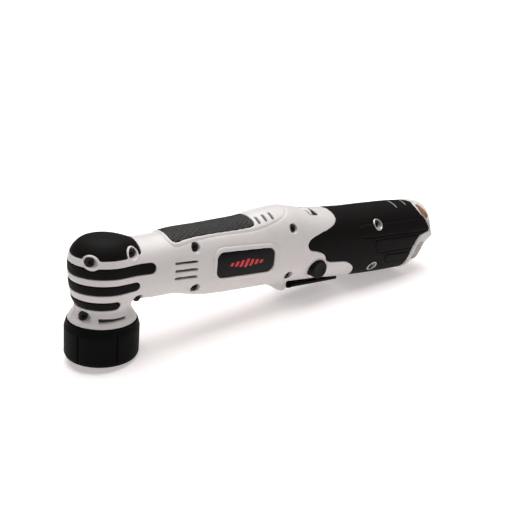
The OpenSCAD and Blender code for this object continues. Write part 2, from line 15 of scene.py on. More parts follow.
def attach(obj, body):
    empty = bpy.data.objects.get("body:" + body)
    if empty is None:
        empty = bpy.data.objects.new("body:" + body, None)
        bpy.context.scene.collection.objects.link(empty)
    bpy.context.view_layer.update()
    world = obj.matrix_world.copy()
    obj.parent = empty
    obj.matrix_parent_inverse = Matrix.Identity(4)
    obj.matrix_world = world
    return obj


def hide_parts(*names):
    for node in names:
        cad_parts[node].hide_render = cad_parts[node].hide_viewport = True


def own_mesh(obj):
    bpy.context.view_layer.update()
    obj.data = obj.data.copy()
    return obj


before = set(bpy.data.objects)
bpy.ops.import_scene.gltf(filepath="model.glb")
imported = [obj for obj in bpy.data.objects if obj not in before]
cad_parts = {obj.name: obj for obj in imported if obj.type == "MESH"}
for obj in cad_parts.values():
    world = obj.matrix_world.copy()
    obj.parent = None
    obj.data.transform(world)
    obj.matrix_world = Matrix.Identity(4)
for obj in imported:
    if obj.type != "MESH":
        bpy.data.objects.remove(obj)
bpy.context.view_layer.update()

MM = 0.001
FAR = 400.0

# ---- Driving sizes in mm, the same as the CAD model's unless a comment says otherwise ----

SQUARENESS = 2.2
# Sections of the handle along X: [x, centre height, half width, half height].
SECTIONS = [
    [0, 57.5, 19.5, 18.5], [12, 57.2, 20.3, 19.5], [24, 56.6, 20.6, 20.4], [31, 56.5, 20.6, 20.8],
    [38, 57.2, 20.8, 21], [45, 58, 21, 21.8], [52, 57.8, 21.3, 22.8], [60, 57, 21.8, 24],
    [70, 56.6, 22.3, 25], [86, 57, 22.8, 26], [102, 57.7, 23.3, 26.6], [110, 58.6, 23.6, 27.5],
    [121, 59.9, 24, 28.8], [130, 60.6, 24.6, 29.6], [138, 61.1, 25.2, 30.2], [147, 60.3, 26, 29.3],
    [158, 59.4, 27, 28.4], [170, 58.7, 27.6, 28], [182, 58, 28, 28.2], [207, 57, 28.4, 28.8],
    [222, 57, 28.8, 29.3], [240, 57.1, 29, 29.6], [262, 57.3, 29, 29.7], [284.5, 57.2, 28.6, 29.2],
    [299, 57.2, 28.2, 28.8],
]
SKIRT_R, SKIRT_H = 24, 26
HEAD_TOP = 80.5
# The head's outline from the skirt up to the crown: [radius, height].
HEAD_SIDE = [
    [22.3, SKIRT_H], [20.4, 29.2], [18.6, 32.5], [18, 35.5], [18.5, 38], [19.8, 41], [21.3, 50], [21.9, 58],
    [21.9, 66], [20.6, 70.6], [18, 74.9], [14, 78.3], [8, 80.2], [0, HEAD_TOP],
]
# Housing screws, each running along Y: [x, z, half width of the housing there].
SCREWS = [
    [-14.2, 68.7, 15.8], [11.9, 71.8, 16.5], [-15.7, 31.9, 10.4], [18, 40.2, 14.5], [56.1, 71.5, 17.8],
    [57.5, 43.3, 18.6], [135.5, 78.6, 21.5], [135.8, 42.7, 20.6],
]
REAR_SCREWS = [[222, 75.3, 23.6], [221, 40.5, 24.7]]
WELL_R, WELL_DEPTH = 3.2, 4.5
# How many of SCREWS, from the first, stand in wide collars beside the soft parts, and those collars' radius.
COLLARED = 2
COLLAR_R = WELL_R + 1.5
# Head stripes: [centre height, height, rear tip's x].
STRIPES = {
    "upper_stripe": [62, 6.9, 26.8],
    "middle_stripe": [51, 6.3, 16.3],
    "lower_stripe": [40, 5.9, 3.6],
}
# Lower and rear edge of the head cap in side view, squarer at its corner than the CAD model's: [x, z].
CAP_FRONT_Z = 69.1
CAP_EDGE = [[6, 70], [12.6, 70.2], [16.4, 70.3], [18.4, 71.2], [18.7, 73.6], [18.9, 77], [19, 84]]
# Front edge of the rear grip in side view, from the top down.
GRIP_FRONT = [
    [187, 92], [182.5, 86], [181, 82.5], [178, 79.6], [170.7, 76.4], [159, 73.4], [150.5, 70.2],
    [147.7, 66.3], [150, 62], [157, 60.4], [163, 58], [166.5, 53.5], [170.5, 50.8], [180, 50],
    [188, 49], [196.5, 44.4], [201, 38], [206, 24],
]
# The rear grip ends this far in front of the housing's rear edge.
GRIP_REAR_GAP = 1.4
# Rear edge of the housing in side view, from the bottom up.
HOUSING_REAR = [
    [270, 20], [266, 36], [264, 46], [266, 55], [272.5, 63], [284.5, 66.5], [283.4, 72], [281.5, 76.5],
    [278.7, 79.5], [279.5, 84.2], [286, 86.8], [286, 95],
]
# Side edge of the battery's rear end, from the bottom up, and how far the end bulges out behind it.
BASE_EDGE = [[262, 26], [267, 37.5], [273, 41.5], [278.7, 54.5], [287.6, 62], [285, 68], [280, 95]]
BASE_CROWN, BASE_HALF = 11, 28.6
# Ends and radius of the oval recess high on the battery's left side, which the CAD model leaves out.
WINDOW_ENDS, WINDOW_R = [[281.6, -12.6, 84.9], [283.2, -20.6, 79.2]], 4
# Outline of each catch in side view.
LATCH = [[268.4, 43], [267.4, 46], [269, 53.6], [271.6, 56.4], [276, 56.4], [274.4, 48], [273, 43]]
# Half of the top grip's plan, less regular than the CAD model's: [x, half width].
TOP_GRIP = [
    [40.2, 0], [40.2, 6], [40.6, 10.6], [41.9, 12.7], [44.5, 13.6], [52, 13], [62, 12.6], [74, 12.7],
    [86, 13.3], [98, 13.6], [102.5, 13.6], [105, 13], [106.3, 10.8], [106.3, 5], [106.3, 0],
]
# Half of the plan of the raised land round the top grip, which the CAD model leaves out, and its height.
LAND_HEIGHT = 0.55
LAND = [
    [38, 0], [38, 9], [39.4, 13], [42.1, 15.3], [49, 15.5], [60.6, 14.5], [76.4, 14.3], [92, 15.2],
    [104.3, 15.9], [115.3, 16], [126.7, 14.7], [133, 12], [137, 7], [138, 0],
]
# Raised finger panels of the rear grip, which the CAD model leaves out: outlines in side view.
PANELS = [
    [
        [205, 67.3], [202.5, 71.3], [206, 75.4], [240, 75.6],
        [277.5, 75.6], [279.5, 71.5], [279, 67.3], [240, 67.3],
    ],
    [
        [218, 62], [221.5, 54.2], [242, 54.2], [262, 54.2],
        [266, 60], [269, 63.4], [245, 63.4], [222, 63.4],
    ],
    [[232.5, 49.3], [235, 43.2], [248, 43.2], [261, 43.2], [260.5, 49.3], [246, 49.3]],
]
SIDE_VENTS_Z = [52.8, 57.9, 63]
SIDE_VENTS_X = [41, 56]
TOP_VENTS_X = [110, 115.8, 121.6]
TOP_VENTS_Y = [7.5, 12.5]
# The slot low on the head's left side, a little lower and taller than the CAD model's: middle and half sizes.
NOSE_SLOT_X, NOSE_SLOT_Z = -0.8, 30.5
NOSE_SLOT_HALF = [8.6, 1.35]
# The bump in front of the paddle, as rounded bars across it: [x, half length, z, radius].
GUARD_BARS = [[131, 6, 34.5, 4], [137, 7, 32, 5.2], [140.3, 9.5, 29.3, 3.3]]
PLATE_X = [71, 118.5]
PLATE_Z = [49, 67.2]
PLATE_CORNER = 5.5
# Bars of the device on the name plates, which the CAD model leaves out: [x, half height].
EMBLEM_SLANT, EMBLEM_BAR_HALF = 0.45, 1.2
EMBLEM_BARS = [[83, 1.2], [87, 1.8], [91, 2.4], [95, 3], [99, 2.4], [103, 1.8], [107, 1.2]]
AXIS_Z = 57
WALL = 3.4
# How far the surface lies inside the CAD model's, and how deep the soft parts reach below it, which is
# a little more than in the CAD model, so that no groove in them is cut through.
SKIN = 0.15
PAD_DEPTH = 1.8
# Rooms inside the housing, without the CAD model's bosses and ribs: radii, and ends along X or Z.
HANDLE_ROOM_X = [26.5, 240]
HEAD_ROOM_R, HEAD_ROOM_Z = 16.9, [39.6, 67]
NECK_ROOM_R, NECK_ROOM_Z = 13.9, [20, 41]
COLLAR_ROOM_R, COLLAR_ROOM_X = 11.3, [0, 27]
BATTERY_ROOM_X = 227.5
# The paddle's opening and the higher one over its pivot: middle, half length and roof.
PADDLE_BAY = [169.7, 27.5, 36.5]
PIVOT_BAY = [190.6, 6.6, 41]
PADDLE_BAY_HALF = 13
LOCK_X, LOCK_Z, LOCK_R = 160.5, 46, 7.1
# The button's left and right faces. The left one stands a little prouder than the CAD model's.
LOCK_FACES = [-27.7, 21.55]
DIAL_X, DIAL_Z, DIAL_R, DIAL_W = 161.5, 76, 11.4, 5
# Half sizes of the dial's opening.
DIAL_OPENING = [4.5, 12.5]
# Strokes on top of the rear grip, which the CAD model leaves out: start and end in plan, and half width.
REAR_MARKS = [[(258, 2), (254.5, -11.5), 0.55], [(274, 3), (268.5, -9), 0.45]]
PEBBLE_PITCH, PEBBLE_DEPTH = 2.6, 0.6
STEM_R = 22
PIVOT_X, PIVOT_Z = 190, 36
PADDLE_X = [143.9, 196.4]
# The lever's lower and upper faces on its centre line: [x, z].
PADDLE_UNDER = [[143.9, 26.4], [149, 27], [194.4, 27.4], [196.4, 28.8]]
PADDLE_ABOVE = [[143.9, 27.8], [147.9, 30.2], [151.9, 30.95]]
PADDLE_HALF = 12.3
# The hollow in the lever's upper side: its ends along X and Y, and its floor.
PADDLE_DISH = [[150, 184], [-9.5, 9.5], 29.4]
SPRING_X, SPRING_Z, SPRING_R = 154, [31.05, 38], 2.8
SPRING_WIRE_R, SPRING_TURNS = 0.38, 6
BUSH_R = 4.6
CASE_END = 279.5
# The hollow in the battery's rear face and the grooves across its floor.
REAR_HOLLOW_Y, REAR_HOLLOW_Z = [-12, 12], [46, 60]
REAR_GROOVES_Y, REAR_GROOVES_Z = [-8, 8], [49.5, 53, 56.5]
LATCH_FOOT, LATCH_RIB_PITCH = 43, 2.3

SKIRT_GROOVE_DEPTH, SKIRT_GROOVE_TOP = 0.95, 21.6
SKIRT_BAND_Z = 21.2
# The skirt's profile, drawn inside its surface by the radius that rounds it: [radius, height].
SKIRT_ROUND = 0.5
SKIRT_SIDE = [
    [20.8, 0.5], [21.3, 0.5], [22.8, 1.2], [23.45, 2.8], [23.45, 20.6], [22, 25.45], [14.7, 25.45],
    [14.7, 25.1], [20.8, 25.1],
]

# ---- Distance helpers ----


def between(u, low, high):
    """Distance to the slab from low to high."""
    return np.maximum(low - u, u - high)


def smooth_min(a, b, k):
    h = np.maximum(k - np.abs(a - b), 0) / k
    return np.minimum(a, b) - h * h * k / 4


def smooth_max(a, b, k):
    return -smooth_min(-a, -b, k)


def smooth_step(t):
    t = np.clip(t, 0, 1)
    return t * t * (3 - 2 * t)


def curve_through(points, steps=5, closed=False):
    """More points along a soft curve through the given ones."""
    p = np.array(points, float)
    if closed:
        p = np.vstack([p[-1:], p, p[:2]])
    else:
        p = np.vstack([2 * p[0] - p[1], p, 2 * p[-1] - p[-2]])
    found = []
    for a, b, c, d in zip(p[:-3], p[1:-2], p[2:-1], p[3:]):
        for t in np.arange(steps) / steps:
            found.append(0.5 * (2 * b + (c - a) * t + (2 * a - 5 * b + 4 * c - d) * t**2
                                + (3 * b - a - 3 * c + d) * t**3))
    if not closed:
        found.append(p[-2])
    return [list(q) for q in found]


def polygon_distance(points, u, v):
    """Signed distance to a closed polygon, negative inside."""
    shape = np.broadcast(u, v).shape
    best = np.full(shape, 1e9)
    inside = np.zeros(shape, bool)
    for (ax, ay), (bx, by) in zip(points, points[1:] + points[:1]):
        ex, ey = bx - ax, by - ay
        pu, pv = u - ax, v - ay
        t = np.clip((pu * ex + pv * ey) / max(ex * ex + ey * ey, 1e-9), 0, 1)
        best = np.minimum(best, (pu - ex * t) ** 2 + (pv - ey * t) ** 2)
        if ay != by:
            inside ^= ((v >= ay) != (v >= by)) & (pu < ex * pv / ey)
    return np.where(inside, -1, 1) * np.sqrt(best)


def outline(points, low, high, step=0.4):
    u = np.arange(low[0], high[0], step)
    v = np.arange(low[1], high[1], step)
    table = polygon_distance(points, u[:, None], v[None, :]).astype(np.float32)

    def read(a, b):
        i = np.clip((a - low[0]) / step, 0, len(u) - 1.001)
        j = np.clip((b - low[1]) / step, 0, len(v) - 1.001)
        i0 = i.astype(np.int32)
        j0 = j.astype(np.int32)
        fi = i - i0
        fj = j - j0
        near = table[i0, j0] * (1 - fi) + table[i0 + 1, j0] * fi
        far = table[i0, j0 + 1] * (1 - fi) + table[i0 + 1, j0 + 1] * fi
        return near * (1 - fj) + far * fj

    return read


def bar(u, v, u0, u1, centre, half):
    """Distance to a straight bar with round ends."""
    reach = np.maximum(np.maximum(u0 - u, u - u1), 0)
    return np.hypot(reach, v - centre) - half


def rounded_box(u, v, u_range, v_range, corner):
    du = np.abs(u - sum(u_range) / 2) - (u_range[1] - u_range[0]) / 2 + corner
    dv = np.abs(v - sum(v_range) / 2) - (v_range[1] - v_range[0]) / 2 + corner
    outside = np.hypot(np.maximum(du, 0), np.maximum(dv, 0))
    return outside + np.minimum(np.maximum(du, dv), 0) - corner


def smoothed_sections(spread=3.0, step=0.5):
    """The handle's sections as fine columns, softened along X."""
    rows = np.array(SECTIONS, float)
    x = np.arange(rows[0, 0] - 20, rows[-1, 0] + 20, step)
    reach = int(4 * spread / step)
    kernel = np.exp(-0.5 * (np.arange(-reach, reach + 1) * step / spread) ** 2)
    kernel /= kernel.sum()
    columns = [np.interp(x, rows[:, 0], rows[:, c]) for c in (1, 2, 3)]
    return x, [np.convolve(np.pad(c, reach, mode="edge"), kernel, mode="valid") for c in columns]


def side_view(points):
    """An outline seen from the side, over the whole tool."""
    return outline(points, [-60, 0], [330, 110])


def top_view(half):
    """A plan outline of which one half is given, from its front tip to its rear tip."""
    edge = curve_through(half)
    return outline(edge + [[x, -y] for x, y in edge[-2:0:-1]], [20, -30], [150, 30])


TABLE_X, TABLE = smoothed_sections()
# Higher than anything on the tool.
ABOVE = 120
head_side = outline([[0, SKIRT_H]] + curve_through(HEAD_SIDE[:-1]) + [[0, HEAD_TOP]], [0, 15], [45, 95], 0.25)
skirt_side = outline(SKIRT_SIDE, [0, -5], [45, 35], 0.1)
latch_zone = outline(curve_through(LATCH, 4, True), [255, 30], [290, 70], 0.2)
cap_zone = side_view([[-FAR, CAP_FRONT_Z]] + curve_through(CAP_EDGE)
                     + [[CAP_EDGE[-1][0], ABOVE], [-FAR, ABOVE]])
rear_zone = side_view(curve_through(GRIP_FRONT)
                      + [[x - GRIP_REAR_GAP, z] for x, z in curve_through(HOUSING_REAR)])
housing_zone = side_view([[-FAR, ABOVE], [-FAR, -FAR], [HOUSING_REAR[0][0], -FAR]]
                         + curve_through(HOUSING_REAR) + [[HOUSING_REAR[-1][0], ABOVE]])
end_zone = side_view([[-FAR, -FAR], [BASE_EDGE[0][0] - 4, -FAR]] + curve_through(BASE_EDGE)
                     + [[BASE_EDGE[-1][0], ABOVE], [-FAR, ABOVE]])
grip_zone = top_view(TOP_GRIP)
land_zone = top_view(LAND)

# ---- The body's own shape ----


def handle(x, y, z):
    """The handle, as far as its front face at x = 0."""
    centre, half_w, half_h = (np.interp(x, TABLE_X, column) for column in TABLE)
    across = np.abs(y) / half_w
    up = np.abs(z - centre) / half_h
    share = (across**SQUARENESS + up**SQUARENESS) ** (1 / SQUARENESS)
    radius = np.sqrt(y * y + (z - centre) ** 2)
    around = np.where(share < 0.1, -half_w, radius * (1 - 1 / np.maximum(share, 0.1)))
    return np.maximum(around, -x)


def head(x, y, z):
    return head_side(np.hypot(x, y), z)


def guard(x, y, z):
    """The bump that stands below the handle in front of the paddle."""
    shape = FAR
    for along, half, height, radius in GUARD_BARS:
        across = np.maximum(np.abs(y) - half, 0)
        rounded = np.sqrt((x - along) ** 2 + across**2 + (z - height) ** 2) - radius
        shape = smooth_min(shape, rounded, 4)
    return shape


def land_lift(x, y, z):
    """How far the land round the top grip stands up."""
    height = LAND_HEIGHT * smooth_step((136 - x) / 25)
    return height * smooth_step(0.5 - land_zone(x, y) / 1.2) * (z > AXIS_Z)


def body(x, y, z):
    """The tool's outer surface, a little inside the CAD model's."""
    shape = smooth_min(handle(x, y, z), head(x, y, z), 4)
    shape = smooth_min(shape, guard(x, y, z), 3)
    return shape + SKIN - land_lift(x, y, z)


def well(x, z, screw):
    return np.hypot(x - screw[0], z - screw[1])


def collar_zone(x, y, z, screw, radius):
    """Round the mouth of a screw well, drawn out a little along the well."""
    return np.hypot(well(x, z, screw), 0.5 * (y + screw[2])) - radius


def stripe_zone(x, z, stripe):
    centre, height, tip = stripe
    return bar(x, z, -FAR, tip - height / 2, centre, height / 2)


def plate_zone(x, z):
    return rounded_box(x, z, PLATE_X, PLATE_Z, PLATE_CORNER)


def on_top(plan, x, y, z):
    """A plan outline, used only on the upper side."""
    return np.maximum(plan(x, y), AXIS_Z + 8 - z)


# ---- Meshing ----


def settle(points, field, step):
    """Moves mesh points onto the exact surface, by at most half a grid step."""
    nudge = 0.04
    moved = points
    for _ in range(2):
        x, y, z = moved.T
        here = field(x, y, z)
        slope = np.stack([field(x + nudge, y, z) - here, field(x, y + nudge, z) - here,
                          field(x, y, z + nudge) - here], 1) / nudge
        size = np.maximum((slope**2).sum(1), 0.3)
        moved = moved - (here / size)[:, None] * slope
    return points + np.clip(moved - points, -0.5 * step, 0.5 * step)


def surface_of(field, low, high, step):
    """Points and quads of the surface where field is zero, between the corners low and high."""
    low = np.array(low, float)
    counts = np.ceil((np.array(high, float) - low) / step).astype(int) + 1
    x, y, z = (low[i] + step * np.arange(counts[i]) for i in range(3))
    x = x.astype(np.float32)[:, None, None]
    y = y.astype(np.float32)[None, :, None]
    z = z.astype(np.float32)[None, None, :]
    reach = 3 * step
    values = np.clip(np.broadcast_to(field(x, y, z), counts), -reach, reach).astype(np.float32)
    grid = openvdb.FloatGrid(reach)
    grid.copyFromArray(np.ascontiguousarray(values))
    points, quads = grid.convertToQuads(isovalue=0.0)
    return settle(low + points.astype(float) * step, field, step), quads.astype(np.int64)


def mesh_object(name, points, quads):
    mesh = bpy.data.meshes.new(name)
    mesh.vertices.add(len(points))
    mesh.vertices.foreach_set("co", (points * MM).astype(np.float32).ravel())
    mesh.loops.add(quads.size)
    mesh.loops.foreach_set("vertex_index", quads.ravel().astype(np.int32))
    mesh.polygons.add(len(quads))
    mesh.polygons.foreach_set("loop_start", np.arange(0, quads.size, quads.shape[1], dtype=np.int32))
    mesh.update(calc_edges=True)
    mesh.validate()
    mesh.polygons.foreach_set("use_smooth", np.ones(len(mesh.polygons), bool))
    piece = bpy.data.objects.new(name, mesh)
    bpy.context.scene.collection.objects.link(piece)
    return piece


def solid(name, fields, low, high, step, material, rides, slot, replaces=()):
    """A piece made of the zero surfaces of one or more fields."""
    points, quads, base = [], [], 0
    for field in fields if isinstance(fields, list) else [fields]:
        p, q = surface_of(field, low, high, step)
        points.append(p)
        quads.append(q + base)
        base += len(p)
    piece = mesh_object(name, np.vstack(points), np.vstack(quads))
    return hand_over(piece, material, rides, replaces)


def hand_over(piece, material, rides, replaces=()):
    """Gives a piece its material and its body, and hides the CAD nodes that it stands for."""
    piece.data.materials.clear()
    piece.data.materials.append(material)
    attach(piece, rides)
    if replaces:
        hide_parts(*replaces)
    return piece


# ---- Materials ----


def new_material(name):
    material = bpy.data.materials.new(name)
    material.use_nodes = True
    nodes = material.node_tree.nodes
    nodes.clear()
    output = nodes.new("ShaderNodeOutputMaterial")
    shader = nodes.new("ShaderNodeBsdfPrincipled")
    material.node_tree.links.new(shader.outputs[0], output.inputs[0])
    return material, shader


def noise(tree, size, detail=3.0, roughness=0.55):
    """Noise with features of about the given size in mm."""
    place = tree.nodes.new("ShaderNodeTexCoord")
    made = tree.nodes.new("ShaderNodeTexNoise")
    made.inputs["Scale"].default_value = 1 / (size * MM)
    made.inputs["Detail"].default_value = detail
    made.inputs["Roughness"].default_value = roughness
    tree.links.new(place.outputs["Object"], made.inputs["Vector"])
    return made


def map_range(tree, source, low, high, from_low=0.3, from_high=0.7):
    made = tree.nodes.new("ShaderNodeMapRange")
    made.inputs["From Min"].default_value = from_low
    made.inputs["From Max"].default_value = from_high
    made.inputs["To Min"].default_value = low
    made.inputs["To Max"].default_value = high
    tree.links.new(source, made.inputs["Value"])
    return made.outputs["Result"]


def tinted(tree, factor, dark, light):
    """A colour between dark and light."""
    ramp = tree.nodes.new("ShaderNodeValToRGB")
    ramp.color_ramp.elements[0].position = 0.3
    ramp.color_ramp.elements[1].position = 0.7
    ramp.color_ramp.elements[0].color = (*dark, 1)
    ramp.color_ramp.elements[1].color = (*light, 1)
    tree.links.new(factor, ramp.inputs["Fac"])
    return ramp.outputs["Color"]


def bump(tree, height, distance, strength=1.0, under=None):
    made = tree.nodes.new("ShaderNodeBump")
    made.inputs["Distance"].default_value = distance * MM
    made.inputs["Strength"].default_value = strength
    tree.links.new(height, made.inputs["Height"])
    if under is not None:
        tree.links.new(under, made.inputs["Normal"])
    return made.outputs["Normal"]


def finish_of(name, colour, roughness, grain, depth, mottle=0.04, patch=9.0, spread=0.05, metallic=0.0,
              specular=0.5, coat=0.0):
    """A moulded, cast or ground finish: a fine grain, and colour and gloss that drift a little."""
    material, shader = new_material(name)
    tree = material.node_tree
    drift = noise(tree, patch, 4)
    fine = noise(tree, grain, 2)
    dark = [c * (1 - mottle) for c in colour]
    light = [min(c * (1 + mottle), 1) for c in colour]
    tree.links.new(tinted(tree, drift.outputs["Fac"], dark, light), shader.inputs["Base Color"])
    tree.links.new(map_range(tree, fine.outputs["Fac"], roughness - spread, roughness + spread),
                   shader.inputs["Roughness"])
    tree.links.new(bump(tree, fine.outputs["Fac"], depth), shader.inputs["Normal"])
    shader.inputs["Metallic"].default_value = metallic
    shader.inputs["Specular IOR Level"].default_value = specular
    shader.inputs["Coat Weight"].default_value = coat
    material.diffuse_color = (*colour, 1)
    return material


def turned_metal(name, colour, roughness, axis, pitch=0.25):
    """Ground or turned metal, with fine rings along one axis."""
    material = finish_of(name, colour, roughness, 0.6, 0.002, metallic=1.0)
    tree = material.node_tree
    shader = next(n for n in tree.nodes if n.type == "BSDF_PRINCIPLED")
    place = tree.nodes.new("ShaderNodeTexCoord")
    rings = tree.nodes.new("ShaderNodeTexWave")
    rings.bands_direction = axis
    rings.inputs["Scale"].default_value = 0.5 / (pitch * MM * 10)
    rings.inputs["Distortion"].default_value = 0.6
    tree.links.new(place.outputs["Object"], rings.inputs["Vector"])
    under = shader.inputs["Normal"].links[0].from_socket
    tree.links.new(bump(tree, rings.outputs["Fac"], 0.006, 0.5, under), shader.inputs["Normal"])
    return material


# Each finish: name, colour, roughness, size and depth of its grain in mm, mottle, size of its patches in mm.
shell_grey = finish_of("shell_grey", (0.59, 0.56, 0.55), 0.44, 0.45, 0.012, 0.02)
soft_black = finish_of("soft_black", (0.0042, 0.0035, 0.0032), 0.62, 0.3, 0.012, 0.15, specular=0.07)
pebbled_black = finish_of("pebbled_black", (0.0115, 0.0098, 0.009), 0.48, 1.8, 0.6, 0.8, 1.8, specular=0.24)
skirt_black = finish_of("skirt_black", (0.0026, 0.0024, 0.0023), 0.6, 0.5, 0.02, 0.2, specular=0.05)
plate_black = finish_of("plate_black", (0.004, 0.0038, 0.004), 0.35, 0.25, 0.004, 0.1, specular=0.12)
button_black = finish_of("button_black", (0.004, 0.0036, 0.0035), 0.45, 0.4, 0.01, 0.15, specular=0.1)
# The catches' grey is the shell's grey plastic made darker: painted shade on the catches.
catch_grey_painted_shade = finish_of("catch_grey_painted_shade", (0.44, 0.425, 0.42), 0.5, 0.45, 0.012, 0.04)
# Black of the inner parts; the same black, on the sheets in the nose slot, top vents and dial opening, is
# painted shade.
inner_black_and_painted_shade = finish_of("inner_black_and_painted_shade", (0.014, 0.014, 0.015), 0.5, 0.5, 0.01, 0.15)
emblem_red = finish_of("emblem_red", (0.55, 0.012, 0.02), 0.35, 0.3, 0.004, 0.08)
mark_grey = finish_of("mark_grey", (0.3, 0.3, 0.31), 0.5, 0.3, 0.004, 0.1)
dial_white = finish_of("dial_white", (0.66, 0.645, 0.63), 0.4, 0.4, 0.008, 0.03)
# Dark amber of the sheet in the battery's oval recess: painted shade and warm bounce light of a real recess.
oval_recess_painted_shade = finish_of("oval_recess_painted_shade", (0.22, 0.1, 0.05), 0.3, 0.4, 0.003, 0.4, 4, coat=0.2)
cast_metal = finish_of("cast_metal", (0.6, 0.61, 0.62), 0.42, 0.7, 0.03, 0.08, metallic=1.0)
turned_z = turned_metal("turned_steel_z", (0.56, 0.57, 0.58), 0.28, "Z")
turned_x = turned_metal("turned_steel_x", (0.56, 0.57, 0.58), 0.28, "X")
dark_metal = finish_of("dark_metal", (0.1, 0.1, 0.105), 0.38, 0.6, 0.008, 0.1, metallic=1.0)
screw_black = finish_of("screw_black", (0.012, 0.012, 0.012), 0.5, 0.6, 0.008, 0.1, metallic=0.6)
bright_rim = finish_of("bright_rim", (0.5, 0.48, 0.47), 0.35, 0.5, 0.003, 0.05, metallic=0.6)
ferrite_grey = finish_of("ferrite_grey", (0.05, 0.05, 0.052), 0.6, 0.4, 0.02, 0.2)
copper_wire = finish_of("copper_wire", (0.6, 0.25, 0.12), 0.3, 0.6, 0.03, 0.15, 2, metallic=1.0)
brass_strip = finish_of("brass_strip", (0.68, 0.47, 0.18), 0.3, 0.6, 0.004, 0.1, metallic=1.0)
wire_red = finish_of("wire_red", (0.4, 0.02, 0.015), 0.4, 0.4, 0.006, 0.1)
board_green = finish_of("board_green", (0.015, 0.12, 0.05), 0.3, 0.8, 0.01, 0.3, 3, coat=0.5)
cell_blue = finish_of("cell_blue", (0.05, 0.14, 0.32), 0.25, 0.8, 0.006, 0.12, coat=0.5)

CARRIED = {
    cast_metal: ["gear_case"],
    turned_z: ["bearing_plate", "lower_bearing", "upper_bearing", "spindle", "paddle_pin"],
    turned_x: ["armature_shaft", "pinion_bearing", "front_motor_bearing", "rear_motor_bearing",
               "motor_front_plate", "motor_can", "dial_shaft"],
    dark_metal: ["plate_screws", "spindle_clip", "bevel_gear", "pinion", "armature_core"],
    screw_black: ["housing_screws"],
    ferrite_grey: ["magnets", "brushes"],
    copper_wire: ["windings", "commutator"],
    brass_strip: ["contact_blades", "battery_terminals"],
    wire_red: ["motor_leads"],
    board_green: ["control_board"],
    cell_blue: ["battery_cells"],
    inner_black_and_painted_shade: ["fan", "motor_end_bell", "switch_body", "switch_plunger", "contact_block", "battery_case"],
}


def dress_carried_nodes():
    """Gives each CAD node that stays in view its procedural material."""
    for material, names in CARRIED.items():
        for name in names:
            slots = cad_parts[name].data.materials
            slots.clear()
            slots.append(material)


# ---- Housing halves ----


def openings(side, x, y, z):
    """Everything cut right through one housing half."""
    cut = FAR
    for height in SIDE_VENTS_Z:
        cut = np.minimum(cut, np.maximum(bar(x, z, *SIDE_VENTS_X, height, 0.8), 12 - side * y))
    for along in TOP_VENTS_X:
        cut = np.minimum(cut, np.maximum(bar(side * y, x, *TOP_VENTS_Y, along, 1.0), 74 - z))
    for middle, half, roof in (PADDLE_BAY, PIVOT_BAY):
        bay = np.maximum(np.abs(x - middle) - half, np.maximum(np.abs(y) - PADDLE_BAY_HALF, z - roof))
        cut = np.minimum(cut, bay)
    cut = np.minimum(cut, np.hypot(x - LOCK_X, z - LOCK_Z) - LOCK_R - 0.2)
    wheel = dial_opening(x, y, 0)
    return np.minimum(cut, np.maximum(wheel, AXIS_Z + 20 - z))


def dial_opening(x, y, inset):
    """The plan of the dial's opening, drawn in by inset."""
    length, width = DIAL_OPENING[0] - inset, DIAL_OPENING[1] - inset
    return rounded_box(x, y, [DIAL_X - length, DIAL_X + length], [-width, width], 1.5 - inset)


def nose_slot(x, y, z):
    """The narrow slot low on the head's left side."""
    half_length, half_height = NOSE_SLOT_HALF
    taper = 0.03 * (x + 9)
    upright = np.abs(z - NOSE_SLOT_Z) - half_height + taper
    return np.maximum(np.maximum(upright, np.abs(x - NOSE_SLOT_X) - half_length), y)


def hollow(x, y, z):
    """The space inside the housing."""
    inside = np.maximum(handle(x, y, z) + WALL, between(x, *HANDLE_ROOM_X))
    round_spindle = np.hypot(x, y)
    round_motor = np.hypot(y, z - AXIS_Z)
    head_room = np.maximum(round_spindle - HEAD_ROOM_R, between(z, *HEAD_ROOM_Z))
    neck_room = np.maximum(round_spindle - NECK_ROOM_R, between(z, *NECK_ROOM_Z))
    collar_room = np.maximum(round_motor - COLLAR_ROOM_R, between(x, *COLLAR_ROOM_X))
    battery_room = np.maximum(round_motor - STEM_R - 0.6, BATTERY_ROOM_X - x)
    for room in (head_room, neck_room, collar_room, battery_room):
        inside = np.minimum(inside, room)
    return inside


def soft_zones(x, y, z):
    """Where the housing is cut back for the soft parts."""
    zone = np.minimum(cap_zone(x, z), rear_zone(x, z))
    for stripe in STRIPES.values():
        zone = np.minimum(zone, stripe_zone(x, z, stripe))
    return np.minimum(zone, on_top(grip_zone, x, y, z))


def crease(away, depth, width=0.45):
    """A narrow groove along the line where a distance is zero."""
    return depth * np.exp(-((away / width) ** 2))


def outer_face(x, y, z, skin):
    """The housing's outer surface, with its raised plate frame, grooves and recesses."""
    lock_rim = np.hypot(x - LOCK_X, z - LOCK_Z) - LOCK_R - 2
    shape = smooth_max(skin, -np.maximum(lock_rim, -skin - 0.8), 1.2)
    frame_shape = smooth_max(plate_zone(x, z) - 2.9, np.maximum(skin - 0.45, -skin - 3), 0.8)
    shape = smooth_min(shape, frame_shape, 0.3)
    shape = shape + crease(plate_zone(x, z) - 3.4, 0.3) + crease(on_top(land_zone, x, y, z), 0.35)
    pocket = np.maximum(soft_zones(x, y, z) - 0.05, -skin - PAD_DEPTH)
    shape = smooth_max(shape, -pocket, 0.35)
    recess = np.maximum(plate_zone(x, z) - 0.05, -skin - 1.25)
    return smooth_max(shape, -recess, 0.4)


